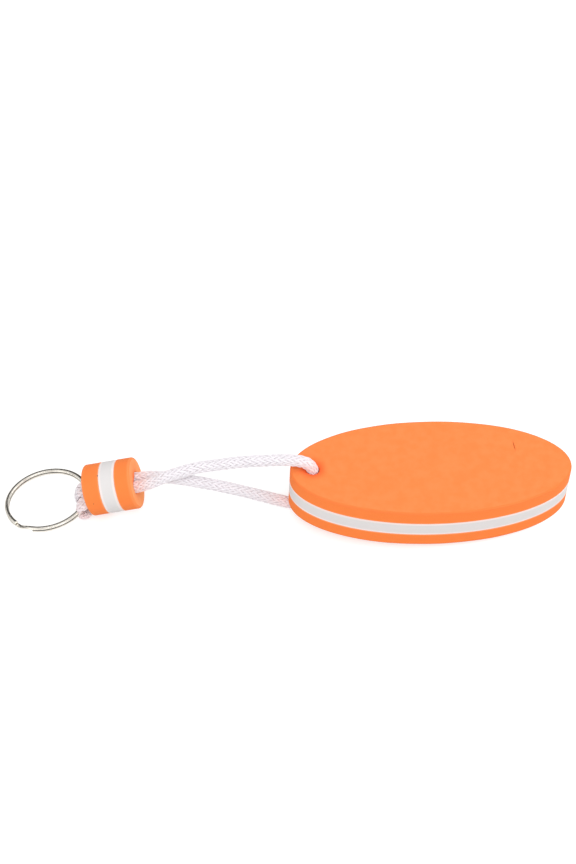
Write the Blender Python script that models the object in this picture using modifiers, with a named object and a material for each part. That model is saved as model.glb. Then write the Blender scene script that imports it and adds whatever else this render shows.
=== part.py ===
"""Floating keychain: a laminated foam float, a foam bead and a split ring on one loop of braided cord.

The float and the bead are punched from the same laminate of three foam sheets. The cord passes through the
float, runs back through the bead as two strands side by side, and is hitched round the wire of the ring.
The keychain lies flat: the float's far end and the low end of the ring touch the ground at z = 0.
Lengths are in metres. X runs from the ring to the float, Y across and Z up.
"""
from math import asin, cos, pi, radians, sin, sqrt

import bmesh
import bpy
from mathutils import Euler, Vector

# Foam laminate
SHEET_THICKNESS = 0.005
BOND_LINE = 0.00005
EDGE_ROUNDING = 0.0006

# Float, an ellipse in plan
FLOAT_LENGTH = 0.088
FLOAT_WIDTH = 0.038
HOLE_FROM_END = 0.0073
HOLE_CLEARANCE = 0.0010
HOLE_X = 0.00775
HOLE_Y = -0.00272
FLOAT_YAW = radians(4.26)

# Bead, a drum on the doubled cord
BEAD_DIAMETER = 0.0161
BEAD_FACE = Vector((-0.0607, -0.0019, 0.00769))
BEAD_TILT = radians(14.0)
BORE_CLEARANCE = 0.0007
MOUTH_DIAMETER = 0.0138
MOUTH_DEPTH = 0.0030

# Cord
CORD_DIAMETER = 0.0037
STRAND_SPACING = 0.0038
BED_CLEARANCE = 0.00015
CORD_SIDES_RESOLUTION = 3
STEP_LENGTH = 0.0026

# Split ring, a flat wire wound twice
RING_DIAMETER = 0.0268
WIRE_WIDTH = 0.0013
WIRE_THICKNESS = 0.00083
COIL_GAP = 0.00004
WIRE_CORNER = 0.00022
JOG_ANGLE = radians(-118.0)
JOG_HALF_LENGTH = radians(11.0)
END_GAP = radians(3.0)
RING_ROLL = radians(-5.0)
HITCH = Vector((-0.06235, -0.0019, 0.00462))
COIL_STEPS_PER_TURN = 60
STEEPEST_SLOPE = radians(60.0)
SLOPE_HALVINGS = 40

# Finish of the facets
RIM_SEGMENTS = 96
BEAD_SEGMENTS = 64
HOLE_SEGMENTS = 32
ROUNDING_SEGMENTS = 3
SHARP_ANGLE = radians(35.0)
WELD_DISTANCE = 0.00001
CUT_OVERLAP = 0.002

# The cord's route, chosen by hand: position in millimetres and the cord's tightness there, 1 where it is free
ROUTE = (
    # up through the hole of the float and over its end
    ((7.78, -2.72, 11.10), 1.00),
    ((7.84, -2.72, 13.20), 1.00),
    ((7.75, -2.68, 15.80), 1.00),
    ((7.00, -2.52, 18.10), 1.00),
    ((5.30, -2.25, 19.90), 1.00),
    ((2.60, -1.90, 20.95), 1.00),
    ((-0.80, -1.55, 21.25), 1.00),
    ((-5.50, -1.25, 20.95), 1.00),
    ((-12.30, -1.10, 20.25), 1.00),
    # the upper strand back to the bead
    ((-21.00, -1.30, 18.95), 1.00),
    ((-27.50, -1.70, 17.95), 1.00),
    ((-32.00, -2.30, 16.85), 1.00),
    ((-37.00, -3.15, 15.40), 1.00),
    ((-41.50, -3.65, 13.30), 1.00),
    ((-46.00, -3.78, 11.42), 1.00),
    ((-50.80, -3.80, 10.08), 1.00),
    ((-55.60, -3.80, 8.92), 1.00),
    # over the wire, down inside the ring and under the wire
    ((-58.40, -3.98, 8.18), 0.92),
    ((-60.60, -4.75, 7.72), 0.84),
    ((-62.80, -5.75, 7.40), 0.80),
    ((-65.22, -6.12, 6.72), 0.80),
    ((-65.68, -6.38, 4.78), 0.80),
    ((-64.98, -6.52, 2.76), 0.80),
    ((-63.07, -6.50, 1.78), 0.80),
    ((-61.35, -5.85, 2.06), 0.80),
    # the band of the hitch, across below both strands
    ((-60.45, -4.10, 2.75), 0.80),
    ((-60.25, -1.90, 3.05), 0.80),
    ((-60.45, 0.20, 2.70), 0.80),
    # back round the wire
    ((-61.18, 1.65, 1.89), 0.80),
    ((-62.93, 2.35, 1.59), 0.80),
    ((-65.02, 2.35, 2.18), 0.80),
    ((-65.42, 2.15, 4.07), 0.80),
    ((-64.96, 1.90, 6.02), 0.80),
    ((-62.64, 1.55, 6.78), 0.80),
    ((-60.50, 0.85, 7.35), 0.84),
    ((-58.40, 0.18, 8.12), 0.92),
    # the lower strand through the bead and down to the ground
    ((-55.60, 0.00, 8.90), 1.00),
    ((-50.80, 0.00, 10.08), 1.00),
    ((-46.00, 0.00, 11.22), 1.00),
    ((-41.50, -0.02, 12.00), 1.00),
    ((-37.00, -0.50, 12.10), 1.00),
    ((-31.50, -1.05, 11.65), 1.00),
    ((-22.50, -1.30, 9.55), 1.00),
    ((-14.60, -1.35, 6.95), 1.00),
    ((-7.40, -1.50, 4.40), 1.00),
    ((-1.60, -1.85, 2.55), 1.00),
    # under the end of the float and up into its hole
    ((2.60, -2.30, 2.05), 1.00),
    ((5.60, -2.60, 3.30), 1.00),
    ((7.20, -2.70, 5.90), 1.00),
    ((7.65, -2.72, 8.60), 1.00),
    ((7.75, -2.72, 10.75), 1.00),
)
TOP_BED_POINTS = 7
BOTTOM_BED_POINTS = 8
MILLIMETRE = 0.001

# Sizes that follow from those above
CORD_RADIUS = CORD_DIAMETER / 2
LAYER_HEIGHT = SHEET_THICKNESS - BOND_LINE
LAMINATE = 3 * SHEET_THICKNESS - BOND_LINE
FLOAT_TILT = asin(CORD_DIAMETER / FLOAT_LENGTH)
HOLE_DIAMETER = CORD_DIAMETER + HOLE_CLEARANCE
BORE_DIAMETER = STRAND_SPACING + CORD_DIAMETER + BORE_CLEARANCE
COIL_PITCH = WIRE_THICKNESS + COIL_GAP
RING_HEIGHT = COIL_PITCH + WIRE_THICKNESS
COIL_RADIUS = (RING_DIAMETER - WIRE_WIDTH) / 2

# Colours: name, linear red, green and blue, roughness, metallic
FINISHES = {
    "orange_foam": ((0.93, 0.235, 0.055), 0.85, 0.0),
    "white_foam": ((0.75, 0.73, 0.73), 0.85, 0.0),
    "white_cord": ((0.86, 0.84, 0.85), 0.75, 0.0),
    "nickel": ((0.72, 0.69, 0.64), 0.22, 1.0),
}


def clear_scene():
    """Remove every object of the open file."""
    for obj in list(bpy.data.objects):
        bpy.data.objects.remove(obj, do_unlink=True)


def make_collection(name):
    """Return a new collection linked to the scene."""
    collection = bpy.data.collections.new(name)
    bpy.context.scene.collection.children.link(collection)
    return collection


def make_materials():
    """Return one Principled material for each finish."""
    materials = {}
    for name, (colour, roughness, metallic) in FINISHES.items():
        material = bpy.data.materials.new(name)
        material.use_nodes = True
        shader = material.node_tree.nodes["Principled BSDF"]
        shader.inputs["Base Color"].default_value = (*colour, 1.0)
        shader.inputs["Roughness"].default_value = roughness
        shader.inputs["Metallic"].default_value = metallic
        material.diffuse_color = (*colour, 1.0)
        materials[name] = material
    return materials


def make_empty(name, collection, location, rotation):
    """Return an empty that carries one group of pieces."""
    empty = bpy.data.objects.new(name, None)
    empty.location = location
    empty.rotation_euler = rotation
    collection.objects.link(empty)
    return empty


def add_mesh_object(name, bm, collection, material=None):
    """Turn a bmesh into an object, shaded smooth apart from its sharp edges."""
    mesh = bpy.data.meshes.new(name)
    bm.to_mesh(mesh)
    bm.free()
    mesh.shade_smooth()
    mesh.set_sharp_from_angle(angle=SHARP_ANGLE)
    if material is not None:
        mesh.materials.append(material)
    obj = bpy.data.objects.new(name, mesh)
    collection.objects.link(obj)
    return obj


def mark_cutter(obj):
    """Keep a cutting shape out of the renders and show it as wire."""
    obj.hide_render = True
    obj.display_type = "WIRE"
    return obj


def disc_mesh(length, width, height, segments, round_top, round_bottom):
    """Return a bmesh disc, an ellipse in plan, with its outer rim rounded where asked."""
    bm = bmesh.new()
    bmesh.ops.create_cone(
        bm, cap_ends=True, segments=segments, radius1=0.5, radius2=0.5, depth=height)
    bmesh.ops.scale(bm, vec=(length, width, 1.0), verts=bm.verts)
    rims = []
    for edge in bm.edges:
        on_top = round_top and all(vert.co.z > 0 for vert in edge.verts)
        on_bottom = round_bottom and all(vert.co.z < 0 for vert in edge.verts)
        if on_top or on_bottom:
            rims.append(edge)
    if rims:
        bmesh.ops.bevel(
            bm, geom=rims, offset=EDGE_ROUNDING, segments=ROUNDING_SEGMENTS, profile=0.5, affect="EDGES")
    return bm


def smooth_route(points):
    """Return points on a smooth curve through the route, with the tightness at each."""
    places = [Vector(place) * MILLIMETRE for place, _ in points]
    tightness = [value for _, value in points]
    result = []
    for index in range(len(places) - 1):
        before = places[max(index - 1, 0)]
        start = places[index]
        end = places[index + 1]
        after = places[min(index + 2, len(places) - 1)]
        first = sqrt((start - before).length) or 1.0
        middle = sqrt((end - start).length)
        last = sqrt((after - end).length) or 1.0
        steps = max(1, round((end - start).length / STEP_LENGTH))
        for step in range(steps):
            share = step / steps
            place = centripetal_point(before, start, end, after, first, middle, last, share)
            value = tightness[index] * (1 - share) + tightness[index + 1] * share
            result.append((place, value))
    result.append((places[-1], tightness[-1]))
    return result


def centripetal_point(before, start, end, after, first, middle, last, share):
    """Return the point at a share of the way from start to end on a centripetal curve."""
    if (start - before).length == 0:
        before = start - (end - start)
        first = middle
    if (after - end).length == 0:
        after = end + (end - start)
        last = middle
    knots = (0.0, first, first + middle, first + middle + last)
    at = knots[1] + share * middle

    def blend(low, high, knot_low, knot_high):
        return low * ((knot_high - at) / (knot_high - knot_low)) + high * ((at - knot_low) / (knot_high - knot_low))

    a1 = blend(before, start, knots[0], knots[1])
    a2 = blend(start, end, knots[1], knots[2])
    a3 = blend(end, after, knots[2], knots[3])
    b1 = blend(a1, a2, knots[0], knots[2])
    b2 = blend(a2, a3, knots[1], knots[3])
    return blend(b1, b2, knots[1], knots[2])


def cord_curve(name, points, radius, collection, material=None):
    """Return a round cord through the points as a curve object with closed ends."""
    data = bpy.data.curves.new(name, "CURVE")
    data.dimensions = "3D"
    data.bevel_depth = radius
    data.bevel_resolution = CORD_SIDES_RESOLUTION
    data.use_fill_caps = True
    spline = data.splines.new("POLY")
    spline.points.add(len(points) - 1)
    for point, (place, value) in zip(spline.points, points):
        point.co = (*place, 1.0)
        point.radius = value
    if material is not None:
        data.materials.append(material)
    obj = bpy.data.objects.new(name, data)
    collection.objects.link(obj)
    return obj


def as_mesh_object(curve_object, collection):
    """Replace a curve object by a mesh object of the same shape with its caps welded."""
    bpy.context.view_layer.update()
    depsgraph = bpy.context.evaluated_depsgraph_get()
    mesh = bpy.data.meshes.new_from_object(curve_object.evaluated_get(depsgraph))
    bm = bmesh.new()
    bm.from_mesh(mesh)
    bmesh.ops.remove_doubles(bm, verts=bm.verts, dist=WELD_DISTANCE)
    bmesh.ops.recalc_face_normals(bm, faces=bm.faces)
    bm.to_mesh(mesh)
    bm.free()
    obj = bpy.data.objects.new(curve_object.name, mesh)
    obj.matrix_world = curve_object.matrix_world
    name = curve_object.name
    bpy.data.objects.remove(curve_object, do_unlink=True)
    obj.name = name
    collection.objects.link(obj)
    return obj


def cut(obj, cutter):
    """Cut the shape of one object out of another."""
    modifier = obj.modifiers.new(f"cut_{cutter.name}", "BOOLEAN")
    modifier.operation = "DIFFERENCE"
    modifier.solver = "EXACT"
    modifier.object = cutter


def float_rotation():
    """Return the lie of the float: turned a little, with the cord under its near end."""
    return Euler((0.0, FLOAT_TILT, FLOAT_YAW), "XYZ")


def float_centre():
    """Return the centre of the float, which stands on the rim of its far end."""
    along = float_rotation().to_matrix() @ Vector((1.0, 0.0, 0.0))
    to_centre = FLOAT_LENGTH / 2 - HOLE_FROM_END
    height = FLOAT_LENGTH / 2 * sin(FLOAT_TILT) + LAMINATE / 2 * cos(FLOAT_TILT)
    return Vector((HOLE_X + along.x * to_centre, HOLE_Y + along.y * to_centre, height))


def build_float(parts, cutters, materials):
    """Three bonded foam layers with one hole near the end, pressed in where the cord lies."""
    seat = make_empty("float_seat", parts, float_centre(), float_rotation())
    bm = disc_mesh(HOLE_DIAMETER, HOLE_DIAMETER, LAMINATE + 2 * CUT_OVERLAP, HOLE_SEGMENTS, False, False)
    hole = mark_cutter(add_mesh_object("float_hole", bm, cutters))
    hole.parent = seat
    hole.location = (HOLE_FROM_END - FLOAT_LENGTH / 2, 0.0, 0.0)
    beds = {
        "top": ROUTE[:TOP_BED_POINTS],
        "bottom": ROUTE[-BOTTOM_BED_POINTS:],
    }
    bed_cutters = {}
    for side, points in beds.items():
        curve = cord_curve(f"cord_bed_{side}", smooth_route(points), CORD_RADIUS + BED_CLEARANCE, cutters)
        bed_cutters[side] = mark_cutter(as_mesh_object(curve, cutters))
    layers = (
        ("float_bottom_layer", -1, "orange_foam", ("bottom",)),
        ("float_middle_layer", 0, "white_foam", ("top", "bottom")),
        ("float_top_layer", 1, "orange_foam", ("top",)),
    )
    for name, level, finish, sides in layers:
        bm = disc_mesh(FLOAT_LENGTH, FLOAT_WIDTH, LAYER_HEIGHT, RIM_SEGMENTS, level > 0, level < 0)
        layer = add_mesh_object(name, bm, parts, materials[finish])
        layer.parent = seat
        layer.location = (0.0, 0.0, level * SHEET_THICKNESS)
        cut(layer, hole)
        for side in sides:
            cut(layer, bed_cutters[side])
    return seat


def bore_cutter(cutters):
    """The bead's bore with its mouth pressed open round the hitch, as one turned shape along X."""
    reach = LAMINATE / 2 + CUT_OVERLAP
    face = -LAMINATE / 2
    mouth_slope = (MOUTH_DIAMETER - BORE_DIAMETER) / 2 / MOUTH_DEPTH
    profile = (
        (0.0, reach),
        (BORE_DIAMETER / 2, reach),
        (BORE_DIAMETER / 2, face + MOUTH_DEPTH),
        (MOUTH_DIAMETER / 2 + mouth_slope * CUT_OVERLAP, face - CUT_OVERLAP),
        (0.0, face - CUT_OVERLAP),
    )
    bm = bmesh.new()
    verts = [bm.verts.new((radius, 0.0, height)) for radius, height in profile]
    for first, second in zip(verts, verts[1:]):
        bm.edges.new((first, second))
    mesh = bpy.data.meshes.new("bead_bore")
    bm.to_mesh(mesh)
    bm.free()
    cutter = bpy.data.objects.new("bead_bore", mesh)
    cutters.objects.link(cutter)
    screw = cutter.modifiers.new("turn", "SCREW")
    screw.axis = "Z"
    screw.steps = HOLE_SEGMENTS
    screw.render_steps = HOLE_SEGMENTS
    screw.use_merge_vertices = True
    screw.merge_threshold = WELD_DISTANCE
    return mark_cutter(cutter)


def build_bead(parts, cutters, materials):
    """Three bonded foam discs on edge, with the doubled cord through the middle."""
    axis = Vector((cos(BEAD_TILT), 0.0, sin(BEAD_TILT)))
    centre = BEAD_FACE + axis * (LAMINATE / 2)
    seat = make_empty("bead_seat", parts, centre, (0.0, pi / 2 - BEAD_TILT, 0.0))
    bore = bore_cutter(cutters)
    bore.parent = seat
    layers = (
        ("bead_ring_side_layer", -1, "orange_foam"),
        ("bead_middle_layer", 0, "white_foam"),
        ("bead_float_side_layer", 1, "orange_foam"),
    )
    for name, level, finish in layers:
        bm = disc_mesh(BEAD_DIAMETER, BEAD_DIAMETER, LAYER_HEIGHT, BEAD_SEGMENTS, level > 0, level < 0)
        layer = add_mesh_object(name, bm, parts, materials[finish])
        layer.parent = seat
        layer.location = (0.0, 0.0, level * SHEET_THICKNESS)
        cut(layer, bore)
    return seat


def ring_slope():
    """Return the slope at which the ring, hung at the hitch, touches the ground with its low side."""
    low, high = 0.0, STEEPEST_SLOPE
    for _ in range(SLOPE_HALVINGS):
        slope = (low + high) / 2
        turn = Euler((RING_ROLL, -slope, 0.0), "XYZ").to_matrix()
        normal = turn @ Vector((0.0, 0.0, 1.0))
        centre = HITCH - turn @ Vector((COIL_RADIUS, 0.0, 0.0))
        reach = RING_DIAMETER / 2 * sqrt(1 - normal.z ** 2) + RING_HEIGHT / 2 * normal.z
        if centre.z - reach > 0:
            low = slope
        else:
            high = slope
    return slope


def wire_profile(cutters):
    """The section of the ring's flat wire, with rounded corners, as a closed outline."""
    data = bpy.data.curves.new("wire_profile", "CURVE")
    data.dimensions = "2D"
    half_width = WIRE_WIDTH / 2 - WIRE_CORNER
    half_height = WIRE_THICKNESS / 2 - WIRE_CORNER
    outline = []
    for corner, (sign_x, sign_y) in enumerate(((1, 1), (-1, 1), (-1, -1), (1, -1))):
        for share in (0.0, 0.5, 1.0):
            angle = (corner + share) * pi / 2
            outline.append((
                sign_x * half_width + WIRE_CORNER * cos(angle),
                sign_y * half_height + WIRE_CORNER * sin(angle)))
    spline = data.splines.new("POLY")
    spline.points.add(len(outline) - 1)
    for point, (x, y) in zip(spline.points, outline):
        point.co = (x, y, 0.0, 1.0)
    spline.use_cyclic_u = True
    profile = bpy.data.objects.new("wire_profile", data)
    cutters.objects.link(profile)
    return mark_cutter(profile)


def build_ring(parts, cutters, materials):
    """The split ring: a flat wire wound nearly twice, with one jog where it climbs onto itself."""
    hinge = make_empty("ring_hinge", parts, HITCH, (RING_ROLL, -ring_slope(), 0.0))
    data = bpy.data.curves.new("split_ring", "CURVE")
    data.dimensions = "3D"
    data.twist_mode = "Z_UP"
    data.bevel_mode = "OBJECT"
    data.bevel_object = wire_profile(cutters)
    data.use_fill_caps = True
    start = JOG_HALF_LENGTH + END_GAP
    sweep = 4 * pi - 2 * start
    steps = round(sweep / (2 * pi) * COIL_STEPS_PER_TURN)
    spline = data.splines.new("POLY")
    spline.points.add(steps)
    for index, point in enumerate(spline.points):
        turned = start + sweep * index / steps
        climb = (turned - 2 * pi) / JOG_HALF_LENGTH
        climb = max(-1.0, min(1.0, climb))
        level = climb * (3 - climb * climb) / 2 * COIL_PITCH / 2
        angle = JOG_ANGLE + turned
        point.co = (COIL_RADIUS * cos(angle), COIL_RADIUS * sin(angle), level, 1.0)
    data.materials.append(materials["nickel"])
    coil = bpy.data.objects.new("split_ring", data)
    cutters.objects.link(coil)
    ring = as_mesh_object(coil, parts)
    ring.data.shade_smooth()
    ring.data.set_sharp_from_angle(angle=SHARP_ANGLE)
    ring.parent = hinge
    ring.location = (-COIL_RADIUS, 0.0, 0.0)
    return hinge


def build_cord(parts, materials):
    """The braided cord, its two ends fused to each other inside the hole of the float."""
    return cord_curve("cord", smooth_route(ROUTE), CORD_RADIUS, parts, materials["white_cord"])


def main():
    """Build the keychain."""
    clear_scene()
    parts = make_collection("floating_keychain")
    cutters = make_collection("cutters")
    materials = make_materials()
    build_float(parts, cutters, materials)
    build_bead(parts, cutters, materials)
    build_ring(parts, cutters, materials)
    build_cord(parts, materials)
    bpy.context.view_layer.update()


main()
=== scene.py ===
"""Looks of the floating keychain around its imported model: foam layers, braided cord, split ring and studio.

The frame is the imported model's: +X from the ring to the float, Z up, ground at z = 0. Sizes are in
millimetres where nothing else is said, and mesh_object() turns points into metres. The foam layers, the cord
and the ring are finer meshes that replace their solids.
"""
from math import asin, ceil, cos, pi, radians, sin, sqrt

import bpy
import numpy as np
from mathutils import Euler, Matrix, Vector


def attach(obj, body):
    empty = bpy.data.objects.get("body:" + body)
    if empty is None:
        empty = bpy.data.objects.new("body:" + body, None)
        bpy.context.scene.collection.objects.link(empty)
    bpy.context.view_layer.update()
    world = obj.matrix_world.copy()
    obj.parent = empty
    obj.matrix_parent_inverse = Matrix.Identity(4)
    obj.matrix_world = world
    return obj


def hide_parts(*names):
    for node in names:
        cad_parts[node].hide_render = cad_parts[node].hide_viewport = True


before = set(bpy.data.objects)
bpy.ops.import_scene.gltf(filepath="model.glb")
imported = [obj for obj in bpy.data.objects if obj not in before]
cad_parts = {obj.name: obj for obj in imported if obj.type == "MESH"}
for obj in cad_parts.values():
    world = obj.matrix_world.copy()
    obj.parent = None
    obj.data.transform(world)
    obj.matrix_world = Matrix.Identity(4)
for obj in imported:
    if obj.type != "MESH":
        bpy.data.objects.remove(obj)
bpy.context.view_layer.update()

MM = 0.001

# Camera, fitted to the photograph, with its place and clipping in metres
CAMERA_PLACE = (0.0081, -0.3840, 0.4594)
CAMERA_TURN = (radians(41.98), radians(0.55), radians(0.47))
CAMERA_LENS = 79.17
SENSOR_WIDTH = 36.0
CLIP_START = 0.01
CLIP_END = 20.0

# Foam laminate, float, bead and cord, as in the part
SHEET = 5.0
BOND = 0.05
LAMINATE = 3 * SHEET - BOND
FLOAT_LENGTH = 88.0
FLOAT_WIDTH = 38.0
FLOAT_YAW = radians(4.26)
HOLE_FROM_END = 7.3
HOLE_X = 7.75
HOLE_Y = -2.72
BEAD_RADIUS = 8.05
BEAD_FACE = Vector((-60.7, -1.9, 7.69))
BEAD_TILT = radians(14.0)
CORD_DIAMETER = 3.7
CORD_RADIUS = CORD_DIAMETER / 2
STRAND_SPACING = 3.8
FLOAT_TILT = asin(CORD_DIAMETER / FLOAT_LENGTH)

# Lower and upper face of each sheet, measured from the middle of the laminate
FACE = LAMINATE / 2
LOW_SHEET = (-FACE, -SHEET / 2 - BOND / 2)
MIDDLE_SHEET = (-SHEET / 2 + BOND / 2, SHEET / 2 - BOND / 2)
HIGH_SHEET = (SHEET / 2 + BOND / 2, FACE)

# Split ring, as in the part
RING_DIAMETER = 26.8
WIRE_WIDTH = 1.3
WIRE_THICKNESS = 0.83
COIL_GAP = 0.04
JOG_ANGLE = radians(-118.0)
JOG_HALF_LENGTH = radians(11.0)
END_GAP = radians(3.0)
RING_ROLL = radians(-5.0)
STEEPEST_SLOPE = radians(60.0)
SLOPE_HALVINGS = 40
HITCH = Vector((-62.35, -1.9, 4.62))
COIL_RADIUS = (RING_DIAMETER - WIRE_WIDTH) / 2
COIL_PITCH = WIRE_THICKNESS + COIL_GAP

# The wire's rounded section, and its cut ends: distance from the end, and share of the full section there
WIRE_SIDES = 32
WIRE_SQUARENESS = 0.72
WIRE_ENDS = ((0.0, 0.72), (0.02, 0.86), (0.07, 0.96))
FULL_FROM_END = 0.14
WIRE_STEPS = 520
WIRE_SHARP_ANGLE = radians(50)

# The cord's route, listed point by point. These are the part's points, but those at the float's hole and at
# the hitch are moved to where the photograph shows the cord. The fourth number is the cord's tightness, 1
# where it is free, and the fifth says how flat it is pressed, 1 on the wire.
ROUTE = (
    (8.05, -2.35, 11.10, 1.00, 0.0), (8.15, -2.30, 13.20, 1.00, 0.0), (8.30, -2.25, 15.80, 1.00, 0.0),
    (8.15, -2.10, 17.95, 1.00, 0.0), (7.10, -1.90, 19.85, 1.00, 0.0), (4.70, -1.70, 21.05, 1.00, 0.0),
    (0.80, -1.50, 21.40, 1.00, 0.0), (-5.50, -1.25, 20.95, 1.00, 0.0), (-12.30, -1.10, 20.25, 1.00, 0.0),
    (-21.00, -1.30, 18.95, 1.00, 0.0), (-27.50, -1.70, 17.95, 1.00, 0.0), (-32.00, -2.30, 16.85, 1.00, 0.0),
    (-37.00, -3.15, 15.40, 1.00, 0.0), (-41.50, -3.65, 13.30, 1.00, 0.0), (-46.00, -3.78, 11.42, 1.00, 0.0),
    (-50.80, -3.80, 10.08, 1.00, 0.0), (-55.60, -3.80, 8.92, 1.00, 0.0), (-58.40, -3.95, 8.25, 0.97, 0.2),
    (-60.40, -5.10, 7.55, 0.95, 0.6), (-62.20, -6.30, 6.75, 0.93, 1.0), (-63.80, -6.65, 6.10, 0.93, 1.0),
    (-64.35, -6.60, 4.65, 0.93, 1.0), (-63.90, -6.45, 3.05, 0.93, 1.0), (-62.80, -6.30, 2.25, 0.93, 1.0),
    (-61.40, -5.80, 2.40, 0.93, 1.0), (-60.50, -4.00, 3.00, 0.90, 0.5), (-60.30, -1.90, 3.20, 0.90, 0.4),
    (-60.60, -0.60, 2.90, 0.90, 0.5), (-61.40, -0.40, 2.40, 0.93, 1.0), (-63.10, -0.45, 2.15, 0.93, 1.0),
    (-64.75, -0.55, 2.65, 0.93, 1.0), (-65.35, -0.65, 4.20, 0.93, 1.0), (-64.75, -0.60, 5.85, 0.93, 1.0),
    (-62.80, -0.40, 6.60, 0.93, 1.0), (-60.60, -0.10, 7.25, 0.95, 0.6), (-58.40, 0.02, 8.00, 0.97, 0.2),
    (-55.60, 0.00, 8.90, 1.00, 0.0), (-50.80, 0.00, 10.08, 1.00, 0.0), (-46.00, 0.00, 11.22, 1.00, 0.0),
    (-41.50, -0.02, 12.00, 1.00, 0.0), (-37.00, -0.50, 12.10, 1.00, 0.0), (-31.50, -1.05, 11.65, 1.00, 0.0),
    (-22.50, -1.30, 9.55, 1.00, 0.0), (-14.60, -1.35, 6.95, 1.00, 0.0), (-7.40, -1.50, 4.40, 1.00, 0.0),
    (-1.60, -1.85, 2.55, 1.00, 0.0), (2.60, -2.30, 2.05, 1.00, 0.0), (5.60, -2.60, 3.30, 1.00, 0.0),
    (7.20, -2.70, 5.90, 1.00, 0.0), (7.85, -2.50, 8.60, 1.00, 0.0), (8.03, -2.37, 10.75, 1.00, 0.0),
)
CURVE_STEP = 0.05
PATH_STEP = 2.0
SMOOTHINGS = 6

# Braid of the cord: strands wound each way over a core, at this many millimetres to the turn
BRAID_LAY = 25.0
BRAID_STRANDS = 12
BRAID_RADIUS = 1.55
BRAID_WAVE = 0.17
BRAID_STEP = 0.35
CROSSINGS_PER_WAVE = 4
HALF_CROSSING = 0.5
STRAND_HALF_WIDTH = 0.40
STRAND_HALF_THICKNESS = 0.20
STRAND_SIDES = 6
CORE_RADIUS = 1.38
CORE_SIDES = 16
FLAT_WIDER = 0.74
FLAT_THINNER = 0.43

# Unevenness of the strands: how much, its pace along the cord, and its shift by strand and by hand
SLOW_WANDER = (0.03, 1.7, 2.3, 4.0)
QUICK_WANDER = (0.02, 4.1, 5.1, 0.0)
WIDTH_CHANGE = (0.06, 2.9, 1.3, 0.0)
THREAD_SHIFT = (3.1, 40.0)

# How high a point lies in the braid, from 0 at the core to 1, which sets its painted shade: the middle, the
# strand's wave and its own side
DEPTH_MIDDLE = 0.5
DEPTH_OF_WAVE = 0.45
DEPTH_OF_SIDE = 0.35

# Places beside the foam where orange bounce light from it is painted on the cord, with their reach
PAINTED_BOUNCE_SPOTS = (
    ((8.0, -2.2, 17.5), 5.0),
    ((-44.8, -3.0, 11.2), 3.4),
    ((-63.0, -6.0, 3.5), 4.0),
    ((-60.5, -2.0, 5.0), 3.0),
    ((3.0, -2.3, 2.5), 8.0),
)

# Foam meshes: rings of points up the hole, round each rounding and down the wall. A rounding smaller than
# LARGEST_BOND_ROUND is at a bond between two layers, and a larger one at a die-cut rim.
HOLE_RINGS = 10
ROUNDING_RINGS = 7
WALL_RINGS = 12
HIDDEN_FACE_RINGS = 4
LARGEST_BOND_ROUND = 0.3
ELLIPSE_SAMPLES = 20001

# How strongly the painted highlight of an edge shows where a rounding meets the wall and on the wall beside a
# bond, and how far from the hole the painted shade round it reaches and how fast it fades
EDGE_AT_WALL = 0.6
EDGE_ON_WALL = 0.55
HOLE_SHADE_REACH = 3.0
HOLE_SHADE_FALL = 1.5

# Float: its mesh, and its near end and hole as photographed, shorter and drawn in round the cord
FLOAT_POINTS = 640
FLOAT_TOP_RINGS = 70
FLOAT_BOTTOM_RINGS = 40
FLOAT_RING_SPREAD = 1.5
FLOAT_RIM_ROUND = 0.6
FLOAT_BOND_ROUND = 0.12
NEAR_END_TRIM = 0.6
HOLE_RADIUS = 2.12
HOLE_SHIFT = (0.28, 0.35)

# The bed that the cord presses into the float, where it lies this near to the float's end and this far from
# the middle of the laminate, and the soft dent beside the bed
BED_FROM_END = 12.0
BED_FROM_MIDDLE = 2.0
BED_STEP = 0.25
BED_CLEARANCE = 0.05
DEEPEST_BED = 0.95
DENT_LIMIT = 1.2
DENT_SHARE = 0.42
DENT_START = 1.2
DENT_REACH = 1.5

# Unevenness of the float's faces: height and pace along x and y of a slow and a quick swell
SLOW_SWELL = (0.05, 0.13, 0.21)
QUICK_SWELL = (0.03, 0.37, 0.29)
SWELL_START = 1.0
SWELL_SINK = 0.06
SWELL_SHARE = 0.9

# A cut in the float's upper face, in the float's own frame, narrower at its bottom
SLIT_ENDS = ((26.99, 10.06), (27.28, 4.95))
SLIT_HALF_WIDTH = 0.15
SLIT_BOTTOM_SHARE = 0.3
SLIT_DEPTH = 1.6
SLIT_CLEARANCE = 0.5
SLIT_SHARP_ANGLE = radians(30)

# Bead: its mesh, the bore round the two strands, and the mouth at the hitch
BEAD_POINTS = 256
BEAD_RING_SIDE_RINGS = 16
BEAD_FLOAT_SIDE_RINGS = 24
BEAD_RING_SPREAD = 1.2
BEAD_RING_SIDE_ROUND = 0.4
BEAD_FLOAT_SIDE_ROUND = 0.7
BEAD_BOND_ROUND = 0.10
BORE_SAMPLES = 4001
BORE_SHARPNESS = 6.0
BORE_CLEARANCE = 0.12
LIP_DEPTH = 0.7
LIP_FLARE = 0.075
MOUTH_DEPTH = 3.1
MOUTH_RADIUS = 6.6
MOUTH_CURVE = 1.4

# Foam drawn in round the bore on the float's side, and the rim that bulges over the hitch, most at its top
PUCKER = 0.35
PUCKER_DEPTH = 0.9
PUCKER_RADIUS = 3.0
PUCKER_WIDTH = 1.6
BULGE = 0.6
BULGE_DEPTH = 3.4
BULGE_MEAN = 0.6
BULGE_LEAN = 0.4

# Dark spots on the bead's outside: place and radius
BEAD_SPECKS = (((-57.85, -3.59, 16.51), 0.32), ((-59.12, -9.68, 10.23), 0.20))
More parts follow.
